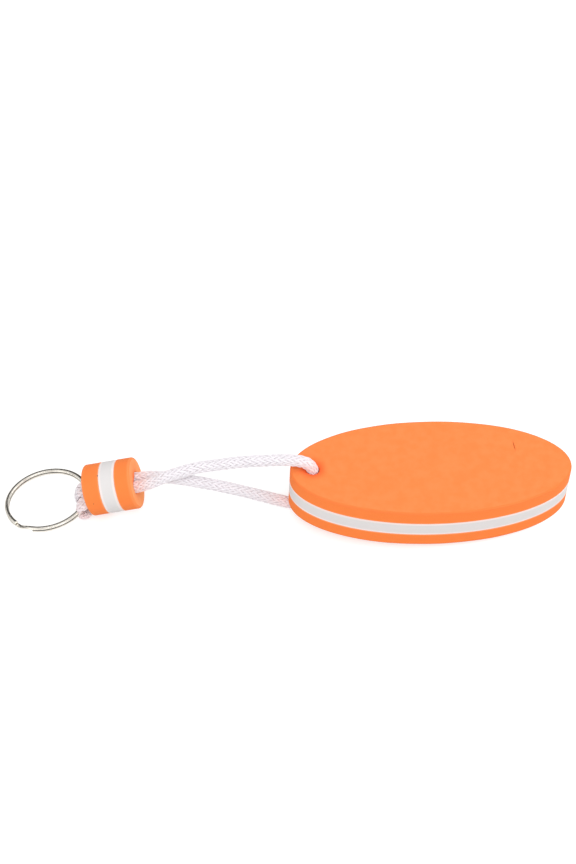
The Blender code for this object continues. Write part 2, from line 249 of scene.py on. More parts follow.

# Colours, in linear light. Dark and light are the mottled faces of the foam, and on the bead they are painted
# lighter as painted light on its faces. Wall is the cut outside, on the orange foam painted darker as the
# painted shade of its sides; edge is a painted highlight on the bonds; rim the die-cut rims; and the tint
# round the hole is painted shade round the hole and the cord. On the cord, glow is painted orange bounce
# light from the foam beside it.
ORANGE_FOAM = {
    "dark": (0.885, 0.218, 0.052), "light": (0.905, 0.240, 0.065), "edge": (0.95, 0.34, 0.14),
    "rim": (0.87, 0.20, 0.045), "wall": (0.91, 0.215, 0.040), "painted_hole_shade": (0.88, 0.085, 0.014)}
# The bead's orange foam, painted lighter than the float's as painted light on the bead's faces
BEAD_FOAM_PAINTED_LIGHT = {
    "dark": (0.92, 0.30, 0.095), "light": (0.94, 0.34, 0.12), "edge": (0.95, 0.34, 0.14),
    "rim": (0.90, 0.25, 0.07), "wall": (0.90, 0.203, 0.037), "painted_hole_shade": (0.88, 0.085, 0.014)}
WHITE_FOAM = {
    "dark": (0.655, 0.63, 0.625), "light": (0.69, 0.665, 0.66), "edge": (0.90, 0.79, 0.76),
    "rim": (0.65, 0.63, 0.63), "wall": (0.70, 0.675, 0.67), "painted_hole_shade": (0.66, 0.58, 0.56)}
SPECK_COLOUR = (0.055, 0.022, 0.015, 1.0)
# On the cord, dark is painted shade down between the strands and on the core, and glow is painted orange
# bounce light
CORD = {"dark": (0.66, 0.565, 0.605), "light": (0.845, 0.815, 0.85), "glow": (0.96, 0.67, 0.66)}
# On the nickel, joint is painted shade between the two turns of the wire
NICKEL = {"bright": (0.80, 0.765, 0.70), "dull": (0.70, 0.66, 0.59), "joint_shade": (0.045, 0.034, 0.026)}

# Looks: a noise has its scale, detail and roughness, a ramp the values between which it rises and what it
# rises from and to, where that isn't 0 and 1, and a bump its height in metres and its strength. The tints
# are laid over the mottled foam in this order, each with its largest share.
FOAM_MOTTLE = (330.0, 4.0, 0.55)
FOAM_GRAIN = (2600.0, 2.0, 0.6)
FOAM_PITS = (1500.0, 0.0)
FOAM_CELL_SCALE = 4200.0
MOTTLE_SHARE = 0.75
MOTTLE_RAMP = (0.35, 0.65)
FOAM_TINTS = (("wall", 0.85), ("edge", 1.0), ("painted_hole_shade", 0.75), ("rim", 1.0))
SPECK_SHARE = 0.85
SPECK_CORE = 0.5
PIT_RAMP = (0.74, 0.80)
PIT_DEPTH = 0.6
FOAM_ROUGHNESS = (0.3, 0.7, 0.78, 0.92)
FOAM_SKIN_BUMP = (0.00012, 0.35)
FOAM_CELL_BUMP = (0.00006, 0.5)
FOAM_SPECULAR = 0.3

# Threads of the braid, as streaks across and along a strand
THREAD = (1.0, 2.0, 0.55)
THREADS_ACROSS = 5.0
THREADS_ALONG = 0.55
THREAD_SHADE = (0.25, 0.7, 0.8, 1.0)
THREAD_PAINTED_BOUNCE = (0.3, 0.6, 0.15, 0.6)
THREAD_ROUGHNESS = (0.3, 0.7, 0.45, 0.7)
THREAD_BUMP = (0.00007, 0.8)
CORD_SPECULAR = 0.4
CORD_SHEEN = 0.25
CORD_SHEEN_ROUGHNESS = 0.4

# Drawing lines of the nickel wire, across and along it, and its tarnish
DRAWN = (1.0, 3.0, 0.6)
DRAWN_ACROSS = 9.0
DRAWN_ALONG = 0.5
DRAWN_ROUGHNESS = (0.3, 0.7, 0.10, 0.18)
DRAWN_BUMP = (0.00002, 0.5)
TARNISH = (420.0, 3.0, 0.6)
TARNISH_RAMP = (0.35, 0.7)
TARNISH_ROUGHNESS = (0.4, 0.7, 0.0, 0.08)
TARNISH_BUMP = (0.00006, 0.25)
# Ramp of the painted shade between the turns of the wire
JOINT_SHADE_RAMP = (0.35, 0.85)

# Studio: the floor and the world are brighter where they are seen than as light on the object
WHITE = (1.0, 1.0, 1.0, 1.0)
FLOOR_HALF_SIZE = 3000.0
FLOOR_GREY = (0.55, 0.55, 0.55, 1.0)
FLOOR_SEEN = 0.58
FLOOR_UNSEEN = 0.2
WORLD_SEEN = 1.0
WORLD_UNSEEN = 0.74

# Lamps: place and size in metres, power in watts
LAMPS = (
    ("key", (0.12, -0.80, 1.05), 0.9, 6.3),
    ("fill_right", (0.85, 0.10, 0.60), 0.8, 4.2),
    ("fill_left", (-0.85, -0.60, 0.60), 0.9, 2.2),
)

# Dark flags in arcs round the ring: radius, bottom, top, and the first and last angle in degrees
FLAG_CENTRE_X = -75.0
FLAG_COLOUR = (0.02, 0.02, 0.02, 1.0)
FLAG_ROUGHNESS = 0.9
FLAG_POINTS = 25
FLAGS = (
    ("flag_back", 600.0, 60.0, 520.0, 78.0, 122.0),
    ("flag_round", 640.0, 170.0, 300.0, -30.0, 210.0),
    ("flag_front", 620.0, 520.0, 900.0, 225.0, 300.0),
)


def camera():
    data = bpy.data.cameras.new("camera")
    data.lens = CAMERA_LENS
    data.sensor_width = SENSOR_WIDTH
    data.clip_start = CLIP_START
    data.clip_end = CLIP_END
    obj = bpy.data.objects.new("camera", data)
    obj.location = CAMERA_PLACE
    obj.rotation_euler = CAMERA_TURN
    bpy.context.scene.collection.objects.link(obj)
    bpy.context.scene.camera = obj


# Meshes

def mesh_object(name, verts, faces, material=None):
    """A smooth mesh object from points in millimetres."""
    mesh = bpy.data.meshes.new(name)
    mesh.from_pydata((np.asarray(verts) * MM).tolist(), [], faces)
    if material is not None:
        mesh.materials.append(material)
    mesh.polygons.foreach_set("use_smooth", [True] * len(mesh.polygons))
    mesh.update()
    obj = bpy.data.objects.new(name, mesh)
    bpy.context.scene.collection.objects.link(obj)
    return obj


def point_attribute(obj, name, values, kind="FLOAT"):
    """Store one value or vector for each point of a mesh, for its material."""
    layer = obj.data.attributes.new(name, kind, "POINT")
    field = "value" if kind == "FLOAT" else "vector"
    layer.data.foreach_set(field, np.asarray(values, dtype=float).ravel())


def unit(vectors):
    return vectors / np.linalg.norm(vectors, axis=1)[:, None]


def running_lengths(points):
    """The distance along a path to each of its points."""
    return np.concatenate(([0.0], np.cumsum(np.linalg.norm(np.diff(points, axis=0), axis=1))))


def grid_faces(rows, columns, start=0, closed_rows=False):
    """Quads over a grid of points that is closed across its columns."""
    faces = []
    for row in range(rows if closed_rows else rows - 1):
        low = start + row * columns
        high = start + (row + 1) % rows * columns
        for column in range(columns):
            beside = (column + 1) % columns
            faces.append((low + column, low + beside, high + beside, high + column))
    return faces


def tube_faces(rows, columns, start=0):
    """Quads along a tube of points, and a cap on each of its ends."""
    last = start + (rows - 1) * columns
    caps = [tuple(range(start + columns - 1, start - 1, -1)), tuple(range(last, last + columns))]
    return grid_faces(rows, columns, start) + caps


# Shader nodes

class Shader:
    """A short way to write the nodes of a material or the world."""

    def __init__(self, owner):
        self.owner = owner
        owner.use_nodes = True
        self.tree = owner.node_tree

    def node(self, kind, inputs=None, **settings):
        """A node with its settings, and each input set to a constant or linked to an output."""
        made = self.tree.nodes.new(kind)
        for key, value in settings.items():
            setattr(made, key, value)
        for key, value in (inputs or {}).items():
            self.set(made.inputs[key], value)
        return made

    def set(self, socket, value):
        if isinstance(value, bpy.types.NodeSocket):
            self.tree.links.new(value, socket)
        else:
            socket.default_value = value

    def math(self, operation, first, second):
        return self.node("ShaderNodeMath", {0: first, 1: second}, operation=operation).outputs[0]

    def ramp(self, value, low, high, to_low=0.0, to_high=1.0):
        """A smooth step from one value to another."""
        made = self.node("ShaderNodeMapRange", {
            "Value": value, "From Min": low, "From Max": high, "To Min": to_low, "To Max": to_high},
            interpolation_type="SMOOTHSTEP")
        return made.outputs["Result"]

    def mix(self, share, first, second):
        made = self.node("ShaderNodeMix", data_type="RGBA")
        for socket, value in zip((made.inputs[0], made.inputs[6], made.inputs[7]), (share, first, second)):
            self.set(socket, value)
        return made.outputs[2]

    def noise(self, vector, scale, detail, roughness=0.5):
        made = self.node("ShaderNodeTexNoise", {
            "Vector": vector, "Scale": scale, "Detail": detail, "Roughness": roughness})
        return made.outputs[0]

    def place(self):
        return self.node("ShaderNodeTexCoord").outputs["Object"]

    def attribute(self, name, output="Fac"):
        return self.node("ShaderNodeAttribute", attribute_name=name).outputs[output]

    def streaks(self, name, noise, across, along):
        """Noise drawn out along a strand or a wire, by the place on it that its points carry."""
        x, y, z = self.node("ShaderNodeSeparateXYZ", {"Vector": self.attribute(name, "Vector")}).outputs
        drawn = self.node("ShaderNodeCombineXYZ", {
            "X": self.math("MULTIPLY", x, across), "Y": self.math("MULTIPLY", y, along), "Z": z})
        return self.noise(drawn.outputs[0], *noise)

    def bump(self, height, size, below=None):
        made = self.node("ShaderNodeBump", {"Height": height, "Distance": size[0], "Strength": size[1]})
        if below is not None:
            self.set(made.inputs["Normal"], below)
        return made.outputs[0]

    def strength(self, seen, unseen):
        """One strength for what the camera sees, also by reflection, and another for light on the object."""
        ray = self.node("ShaderNodeLightPath").outputs
        passed_on = self.math("MAXIMUM", ray["Is Glossy Ray"], ray["Is Transmission Ray"])
        return self.ramp(self.math("MAXIMUM", ray["Is Camera Ray"], passed_on), 0.0, 1.0, unseen, seen)

    def finish(self, **inputs):
        """Set inputs of the surface, and give back the material."""
        surface = self.tree.nodes["Principled BSDF"]
        for key, value in inputs.items():
            self.set(surface.inputs[key.replace("_", " ")], value)
        return self.owner


def opaque(colours):
    return {name: (*colour, 1.0) for name, colour in colours.items()}


def foam_material(name, colours, specks=()):
    """Closed-cell foam: matte, faintly mottled, with fine cells, and with dark spots at the specks."""
    colours = opaque(colours)
    shader = Shader(bpy.data.materials.new(name))
    where = shader.place()
    mottle = shader.noise(where, *FOAM_MOTTLE)
    grain = shader.noise(where, *FOAM_GRAIN)
    coarse = shader.math("MULTIPLY", mottle, MOTTLE_SHARE)
    fine = shader.math("MULTIPLY", grain, 1 - MOTTLE_SHARE)
    share = shader.ramp(shader.math("ADD", coarse, fine), *MOTTLE_RAMP)
    colour = shader.mix(share, colours["dark"], colours["light"])
    # The tints paint shade on the orange walls, a highlight on the bonds and shade round the hole, and colour
    # the die-cut rims
    for tint, largest in FOAM_TINTS:
        share = shader.math("MULTIPLY", shader.attribute(tint), largest)
        colour = shader.mix(share, colour, colours[tint])
    for place, radius in specks:
        centre = tuple(value * MM for value in place)
        away = shader.node("ShaderNodeVectorMath", {0: where, 1: centre}, operation="DISTANCE")
        spot = shader.ramp(away.outputs["Value"], radius * SPECK_CORE * MM, radius * MM, SPECK_SHARE, 0.0)
        colour = shader.mix(spot, colour, SPECK_COLOUR)
    cells = shader.node("ShaderNodeTexVoronoi", {"Vector": where, "Scale": FOAM_CELL_SCALE})
    pits = shader.ramp(shader.noise(where, *FOAM_PITS), *PIT_RAMP)
    relief = shader.math("SUBTRACT", cells.outputs["Distance"], shader.math("MULTIPLY", pits, PIT_DEPTH))
    skin = shader.bump(mottle, FOAM_SKIN_BUMP)
    return shader.finish(
        Base_Color=colour, Roughness=shader.ramp(grain, *FOAM_ROUGHNESS), Specular_IOR_Level=FOAM_SPECULAR,
        Normal=shader.bump(relief, FOAM_CELL_BUMP, skin))


def braid_material(name):
    """Polypropylene filaments that run along each strand of the braid, with painted shade darker down between
    the strands and on the core.
    """
    colours = opaque(CORD)
    shader = Shader(bpy.data.materials.new(name))
    thread = shader.streaks("lay", THREAD, THREADS_ACROSS, THREADS_ALONG)
    # Painted shade: darker the deeper a point lies in the braid
    height = shader.ramp(shader.attribute("depth"), 0.0, 1.0)
    shade = shader.math("MULTIPLY", height, shader.ramp(thread, *THREAD_SHADE))
    # Painted orange bounce light from the foam, laid over the cord's colour near the foam
    glow = shader.math("MULTIPLY", shader.attribute("glow"), shader.ramp(thread, *THREAD_PAINTED_BOUNCE))
    colour = shader.mix(glow, shader.mix(shade, colours["dark"], colours["light"]), colours["glow"])
    return shader.finish(
        Base_Color=colour, Roughness=shader.ramp(thread, *THREAD_ROUGHNESS),
        Normal=shader.bump(thread, THREAD_BUMP), Specular_IOR_Level=CORD_SPECULAR,
        Sheen_Weight=CORD_SHEEN, Sheen_Roughness=CORD_SHEEN_ROUGHNESS)


def nickel_material(name):
    """Bright nickel plate with drawing lines along the wire and a little tarnish, and painted shade dark
    between the turns.
    """
    colours = opaque(NICKEL)
    shader = Shader(bpy.data.materials.new(name))
    drawn = shader.streaks("wire", DRAWN, DRAWN_ACROSS, DRAWN_ALONG)
    tarnish = shader.noise(shader.place(), *TARNISH)
    colour = shader.mix(shader.ramp(tarnish, *TARNISH_RAMP), colours["bright"], colours["dull"])
    # Painted shade on the faces of the two turns that lie against each other
    joint_shade = shader.ramp(shader.attribute("joint_shade"), *JOINT_SHADE_RAMP)
    dullness = shader.ramp(tarnish, *TARNISH_ROUGHNESS)
    return shader.finish(
        Base_Color=shader.mix(joint_shade, colour, colours["joint_shade"]), Metallic=1.0,
        Roughness=shader.math("ADD", shader.ramp(drawn, *DRAWN_ROUGHNESS), dullness),
        Normal=shader.bump(drawn, DRAWN_BUMP, shader.bump(tarnish, TARNISH_BUMP)))


# The cord

def blend(low, high, low_time, high_time, at):
    """The point at a time on the straight line through two points that have times of their own."""
    return (low * (high_time - at) + high * (at - low_time)) / (high_time - low_time)


def curve_point(points, times, at):
    """A point on the smooth curve through four points, at a time between those of the middle two."""
    firsts = [blend(points[i], points[i + 1], times[i], times[i + 1], at) for i in range(3)]
    seconds = [blend(firsts[i], firsts[i + 1], times[i], times[i + 2], at) for i in range(2)]
    return blend(*seconds, times[1], times[2], at)


def route_points(step):
    """Points a step apart on the cord's route with tightness and flatness, and how far along it they lie."""
    knots = np.array(ROUTE)
    places = knots[:, :3]
    before, after = 2 * places[0] - places[1], 2 * places[-1] - places[-2]
    places = np.vstack((before, places, after))
    dense = []
    for index in range(len(knots) - 1):
        four = places[index:index + 4]
        times = np.concatenate(([0.0], np.cumsum(np.sqrt(np.linalg.norm(np.diff(four, axis=0), axis=1)))))
        for share in np.arange(0.0, 1.0, CURVE_STEP):
            place = curve_point(four, times, times[1] + share * (times[2] - times[1]))
            dense.append((*place, *(knots[index, 3:] * (1 - share) + knots[index + 1, 3:] * share)))
    dense.append(ROUTE[-1])
    dense = np.array(dense)
    lengths = running_lengths(dense[:, :3])
    at = np.linspace(0.0, lengths[-1], int(ceil(lengths[-1] / step)) + 1)
    return np.stack([np.interp(at, lengths, column) for column in dense.T], axis=1), at


def smoothed(values):
    """The values with each point drawn to the mean of its neighbours, ends kept."""
    values = values.copy()
    for _ in range(SMOOTHINGS):
        values[1:-1] = 0.25 * values[:-2] + 0.5 * values[1:-1] + 0.25 * values[2:]
    return values


def cross_directions(points):
    """Two directions across a path at each of its points, turned as little as possible."""
    tangents = unit(np.gradient(points, axis=0))
    normals = np.zeros_like(points)
    side = np.cross(tangents[0], (0.0, 1.0, 0.0))
    normals[0] = side / np.linalg.norm(side)
    for i in range(1, len(points)):
        side = normals[i - 1] - tangents[i] * np.dot(normals[i - 1], tangents[i])
        normals[i] = side / np.linalg.norm(side)
    return normals, np.cross(tangents, normals)


def waver(kind, at, strand, hand):
    """The unevenness of one strand along the cord."""
    size, pace, strand_shift, hand_shift = kind
    return size * np.sin(at * pace + strand_shift * strand + hand_shift * hand)


def strand_points(centre, normal, binormal, at, tight, strand, hand):
    """Rings of points along a strand, with the lay and depth of each. It goes two over and two under."""
    angle = 2 * pi * (strand / BRAID_STRANDS + hand * at / BRAID_LAY)
    crossing = 2 * strand + hand * 2 * BRAID_STRANDS * at / BRAID_LAY - HALF_CROSSING
    rise = hand * BRAID_WAVE * np.cos(2 * pi * crossing / CROSSINGS_PER_WAVE)
    wander = waver(SLOW_WANDER, at, strand, hand) + waver(QUICK_WANDER, at, strand, hand)
    radius = (BRAID_RADIUS + rise + wander) * tight
    outward = normal * np.cos(angle)[:, None] + binormal * np.sin(angle)[:, None]
    line = centre + outward * radius[:, None]
    along = unit(np.gradient(line, axis=0))
    wide = unit(np.cross(along, outward))
    out = np.cross(wide, along)
    width = STRAND_HALF_WIDTH * tight * (1 + waver(WIDTH_CHANGE, at, strand, hand))
    thick = STRAND_HALF_THICKNESS * tight
    turn = np.linspace(0.0, 2 * pi, STRAND_SIDES, endpoint=False)
    across = (wide * width[:, None])[:, None] * np.cos(turn)[:, None]
    upward = (out * thick[:, None])[:, None] * np.sin(turn)[:, None]
    points = line[:, None] + across + upward
    shift = THREAD_SHIFT[0] * strand + THREAD_SHIFT[1] * hand
    lays = np.stack(np.broadcast_arrays(np.cos(turn), at[:, None], shift), axis=-1)
    depths = DEPTH_MIDDLE + DEPTH_OF_WAVE * rise[:, None] / BRAID_WAVE + DEPTH_OF_SIDE * np.sin(turn)
    return points.reshape(-1, 3), lays.reshape(-1, 3), depths.ravel()


def core_points(centre, normal, binormal, at, tight):
    """Rings of points along the core that fills the braid, with the lay and the depth of each."""
    turn = np.linspace(0.0, 2 * pi, CORE_SIDES, endpoint=False)[:, None]
    outward = normal[:, None] * np.cos(turn) + binormal[:, None] * np.sin(turn)
    points = centre[:, None] + outward * CORE_RADIUS * tight[:, None, None]
    lays = np.stack(np.broadcast_arrays(turn[:, 0], at[:, None], 0.0), axis=-1)
    return points.reshape(-1, 3), lays.reshape(-1, 3), np.zeros(len(centre) * CORE_SIDES)


def flattened(points, centres, flat):
    """The cord's points, drawn in where it is pressed flat on the wire, but spread out along y."""
    offset = points - centres
    offset *= 1 - FLAT_THINNER * flat[:, None]
    offset[:, 1] *= (1 + FLAT_WIDER * flat) / (1 - FLAT_THINNER * flat)
    return centres + offset


def painted_bounce_at(places):
    """How strongly painted orange bounce light from the foam shows at each place, from 0 to 1."""
    near = np.zeros(len(places))
    for place, reach in PAINTED_BOUNCE_SPOTS:
        away = np.linalg.norm(places - np.array(place), axis=1)
        near = np.maximum(near, np.exp(-(away / reach) ** 2))
    return near


def build_cord(material):
    """The braid: strands wound both ways over a core, following the route."""
    path, at = route_points(BRAID_STEP)
    centre = path[:, :3]
    tight, flat = smoothed(path[:, 3]), smoothed(path[:, 4])
    normal, binormal = cross_directions(centre)
    tubes = [
        strand_points(centre, normal, binormal, at, tight, strand, hand)
        for hand in (1, -1) for strand in range(BRAID_STRANDS)]
    tubes.append(core_points(centre, normal, binormal, at, tight))
    points, lays, depths = (np.concatenate(values) for values in zip(*tubes))
    count = len(centre)
    faces, rows, start = [], [], 0
    for sides in [STRAND_SIDES] * 2 * BRAID_STRANDS + [CORE_SIDES]:
        faces += tube_faces(count, sides, start)
        rows.append(np.repeat(np.arange(count), sides))
        start += count * sides
    rows = np.concatenate(rows)
    obj = mesh_object("braided_cord", flattened(points, centre[rows], flat[rows]), faces, material)
    point_attribute(obj, "lay", lays, "FLOAT_VECTOR")
    point_attribute(obj, "depth", np.clip(depths, 0, 1))
    point_attribute(obj, "glow", painted_bounce_at(centre)[rows])
    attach(obj, "float")
    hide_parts("cord")
    line = route_points(PATH_STEP)[0][:, :3] * MM


# Foam layers

def even_ellipse(half_length, half_width, count):
    """Points evenly along an ellipse from its near end, with their outward directions."""
    fine = np.linspace(0.0, 2 * pi, ELLIPSE_SAMPLES)
    outline = np.stack([half_length * np.cos(fine + pi), half_width * np.sin(fine + pi)], axis=1)
    lengths = running_lengths(outline)
    angle = np.interp(np.linspace(0.0, lengths[-1], count, endpoint=False), lengths, fine) + pi
    points = np.stack([half_length * np.cos(angle), half_width * np.sin(angle)], axis=1)
    normals = np.stack([np.cos(angle) / half_length, np.sin(angle) / half_width], axis=1)
    return points, unit(normals)


def foam_layer(name, rim, rim_normal, hole_at, sheet, roundings, face_rings,
               spread, shape, matrix, material):
    """One closed foam layer, as rings of points round its hole: up the hole, out, down the wall and back in.

    Sheet, roundings and face_rings have a value for its lower and one for its upper face: the height, the
    rounding of the rim and the number of rings. hole_at(z) gives the hole's outline at a height, spread
    crowds the rings of a face towards the hole, and shape(points) moves the finished points.
    """
    low, high = sheet
    low_round, high_round = roundings
    low_rings, high_rings = face_rings
    low_bonded, high_bonded = (rounding < LARGEST_BOND_ROUND for rounding in roundings)
    rings, edges, rims, walls = [], [], [], []

    def ring(outline, height, edge=0.0, bonded=True, outside=0.0):
        rings.append(np.column_stack([outline, np.full(len(outline), height)]))
        edges.append(edge if bonded else 0.0)
        rims.append(0.0 if bonded else edge)
        walls.append(outside)

    for i in range(1, HOLE_RINGS):
        height = low + (high - low) * i / HOLE_RINGS
        ring(hole_at(height), height)
    inner = rim - rim_normal * high_round
    for i in range(high_rings + 1):
        share = (i / high_rings) ** spread
        ring(hole_at(high) * (1 - share) + inner * share, high)
    # Roundings at a bond carry the painted highlight of the edge, those at a die-cut rim the rim colour
    for i in range(1, ROUNDING_RINGS + 1):
        turn = pi / 2 * i / ROUNDING_RINGS
        ring(rim - rim_normal * high_round * (1 - sin(turn)), high - high_round * (1 - cos(turn)),
             1.0 if i < ROUNDING_RINGS else EDGE_AT_WALL, high_bonded, i / ROUNDING_RINGS)
    for i in range(1, WALL_RINGS):
        beside_bond = low_bonded and high_bonded and i in (1, WALL_RINGS - 1)
        ring(rim, high - high_round + (low + low_round - high + high_round) * i / WALL_RINGS,
             EDGE_ON_WALL if beside_bond else 0.0, outside=1.0)
    inner = rim - rim_normal * low_round
    for i in range(ROUNDING_RINGS + 1):
        turn = pi / 2 * i / ROUNDING_RINGS
        ring(rim - rim_normal * low_round * (1 - cos(turn)), low + low_round * (1 - sin(turn)),
             1.0 if i else EDGE_AT_WALL, low_bonded, 1 - i / ROUNDING_RINGS)
    for i in range(1, low_rings + 1):
        share = 1 - ((low_rings - i) / low_rings) ** spread
        ring(inner * (1 - share) + hole_at(low) * share, low)

    flat = np.concatenate(rings)
    columns = len(rim)
    faces = [face[::-1] for face in grid_faces(len(rings), columns, closed_rows=True)]
    placed = (np.array(matrix.to_3x3()) @ shape(flat).T).T + np.array(matrix.translation)
    obj = mesh_object(name, placed, faces, material)
    for attribute, values in (("edge", edges), ("rim", rims), ("wall", walls)):
        point_attribute(obj, attribute, np.repeat(values, columns))
    # Painted shade round the hole, fading away from it
    hole = hole_at(high)
    away = np.linalg.norm(flat[:, :2] - hole.mean(axis=0), axis=1) - np.ptp(hole[:, 0]) / 2
    point_attribute(obj, "painted_hole_shade", np.clip(1 - away / HOLE_SHADE_REACH, 0, 1) ** HOLE_SHADE_FALL)
    return obj


def declare_layer(obj, body, node):
    """Say what a foam layer rides on, and hide the solid it replaces."""
    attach(obj, body)
    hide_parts(node)


# The float

def float_matrix():
    turn = Euler((0.0, FLOAT_TILT, FLOAT_YAW), "XYZ").to_matrix()
    along = turn @ Vector((1.0, 0.0, 0.0))
    reach = FLOAT_LENGTH / 2 - HOLE_FROM_END
    height = FLOAT_LENGTH / 2 * sin(FLOAT_TILT) + LAMINATE / 2 * cos(FLOAT_TILT)
    centre = Vector((HOLE_X + along.x * reach, HOLE_Y + along.y * reach, height))
    return Matrix.Translation(centre) @ turn.to_4x4()


def dent_depth(xy, matrix, side):
    """How far the cord presses the float's upper face, side 1, or lower face, side -1, in at each place."""
    path = route_points(BED_STEP)[0][:, :3]
    inverse = matrix.inverted()
    local = (np.array(inverse.to_3x3()) @ path.T).T + np.array(inverse.translation)
    near = local[local[:, 0] < -FLOAT_LENGTH / 2 + BED_FROM_END]
    reach = CORD_RADIUS + BED_CLEARANCE
    depth = np.zeros(len(xy))
    for centre in near[side * near[:, 2] > BED_FROM_MIDDLE]:
        away = np.hypot(xy[:, 0] - centre[0], xy[:, 1] - centre[1])
        pressed = FACE - side * centre[2] + reach
        bed = pressed - (reach - np.sqrt(np.maximum(reach ** 2 - away ** 2, 0.0)))
        beside = np.exp(-(np.maximum(away - DENT_START, 0.0) / DENT_REACH) ** 2)
        dent = np.clip(pressed, 0.0, DENT_LIMIT) * DENT_SHARE * beside
        depth = np.maximum(depth, np.maximum(np.where(away < reach, bed, 0.0), dent))
    return depth


def face_swell(x, y):
    """A slow and a quick unevenness of the float's faces."""
    slow, slow_x, slow_y = SLOW_SWELL
    quick, quick_x, quick_y = QUICK_SWELL
    wave = slow * np.sin(x * slow_x + SWELL_START) * np.cos(y * slow_y)
    return wave + quick * np.sin(x * quick_x + y * quick_y)


def pressed_sheet(matrix, side):
    """A function that presses the cord's bed into one of the float's outer sheets, with an uneven face."""
    sheet = SHEET - BOND

    def shape(points):
        points = points.copy()
        depth = np.minimum(dent_depth(points[:, :2], matrix, side), sheet * DEEPEST_BED)
        share = np.clip((side * points[:, 2] - FACE + sheet) / sheet, 0.0, 1.0)
        swell = np.where(share > SWELL_SHARE, face_swell(points[:, 0], points[:, 1]) - SWELL_SINK, 0.0)
        points[:, 2] += side * (swell - depth * share)
        return points
    return shape


def flat_sheet(points):
    """The middle sheet has nothing pressed into it."""
    return points


def cut_slit(obj, matrix):
    """Cut a short, thin slit with pointed ends into the float's upper face."""
    start, end = (np.array(place) for place in SLIT_ENDS)
    across = np.array((start[1] - end[1], end[0] - start[0]))
    across *= SLIT_HALF_WIDTH / np.linalg.norm(across)
    middle = (start + end) / 2
    verts = []
    for height, share in ((FACE + SLIT_CLEARANCE, 1.0), (FACE - SLIT_DEPTH, SLIT_BOTTOM_SHARE)):
        for x, y in (start, middle + across * share, end, middle - across * share):
            verts.append(tuple(matrix @ Vector((x, y, height))))
    faces = [(3, 2, 1, 0), (4, 5, 6, 7)] + [(i, (i + 1) % 4, (i + 1) % 4 + 4, i + 4) for i in range(4)]
    cutter = mesh_object("slit_cutter", verts, faces)
    modifier = obj.modifiers.new("slit", "BOOLEAN")
    modifier.operation = "DIFFERENCE"
    modifier.solver = "EXACT"
    modifier.object = cutter
    bpy.context.view_layer.update()
    depsgraph = bpy.context.evaluated_depsgraph_get()
    mesh = bpy.data.meshes.new_from_object(obj.evaluated_get(depsgraph))
    obj.modifiers.clear()
    obj.data = mesh
    mesh.set_sharp_from_angle(angle=SLIT_SHARP_ANGLE)
    bpy.data.objects.remove(cutter, do_unlink=True)


def build_float(orange, white):
    """Three bonded layers with a punched hole, pressed in where the cord passes over and under the end."""
    matrix = float_matrix()
    rim, normal = even_ellipse((FLOAT_LENGTH - NEAR_END_TRIM) / 2, FLOAT_WIDTH / 2, FLOAT_POINTS)
    rim[:, 0] += NEAR_END_TRIM / 2
    turn = np.linspace(pi, 3 * pi, FLOAT_POINTS, endpoint=False)
    hole_centre = np.array((HOLE_FROM_END - FLOAT_LENGTH / 2 + HOLE_SHIFT[0], HOLE_SHIFT[1]))
    hole = hole_centre + HOLE_RADIUS * np.stack([np.cos(turn), np.sin(turn)], axis=1)
    layers = (
        ("top", HIGH_SHEET, (FLOAT_BOND_ROUND, FLOAT_RIM_ROUND), (HIDDEN_FACE_RINGS, FLOAT_TOP_RINGS),
         pressed_sheet(matrix, 1), orange),
        ("middle", MIDDLE_SHEET, (FLOAT_BOND_ROUND, FLOAT_BOND_ROUND), (HIDDEN_FACE_RINGS, HIDDEN_FACE_RINGS),
         flat_sheet, white),
        ("bottom", LOW_SHEET, (FLOAT_RIM_ROUND, FLOAT_BOND_ROUND), (FLOAT_BOTTOM_RINGS, HIDDEN_FACE_RINGS),
         pressed_sheet(matrix, -1), orange),
    )
    for place, sheet, roundings, face_rings, shape, material in layers:
        obj = foam_layer(
            f"float_{place}_foam", rim, normal, lambda height: hole, sheet, roundings, face_rings,
            FLOAT_RING_SPREAD, shape, matrix, material)
        if place == "top":
            cut_slit(obj, matrix)
        declare_layer(obj, "float", f"float_{place}_layer")


# The bead

def bore_outline():
    """Outline round the two strands, the long way along y, from the -x side, evenly spaced."""
    radius = CORD_RADIUS + BORE_CLEARANCE
    turn = np.linspace(0.0, 2 * pi, BORE_SAMPLES) + pi
    x = radius * np.cos(turn)
    y = radius * np.sin(turn) + STRAND_SPACING / 2 * np.tanh(BORE_SHARPNESS * np.sin(turn))
    lengths = running_lengths(np.stack([x, y], axis=1))
    at = np.linspace(0.0, lengths[-1], BEAD_POINTS, endpoint=False)
    return np.stack([np.interp(at, lengths, x), np.interp(at, lengths, y)], axis=1)


def bead_shape(points):
    """Draw the float's side in round the bore, and bulge the rim at the hitch."""
    points = points.copy()
    away = np.hypot(points[:, 0], points[:, 1])
    pucker = PUCKER * np.exp(-((away - PUCKER_RADIUS) / PUCKER_WIDTH) ** 2)
    points[:, 2] -= np.where(points[:, 2] > FACE - PUCKER_DEPTH, pucker, 0.0)
    bulge = np.clip((BULGE_DEPTH - FACE - points[:, 2]) / BULGE_DEPTH, 0.0, 1.0)
    points[:, 2] -= BULGE * bulge * (BULGE_MEAN - BULGE_LEAN * points[:, 0] / BEAD_RADIUS)
    return points


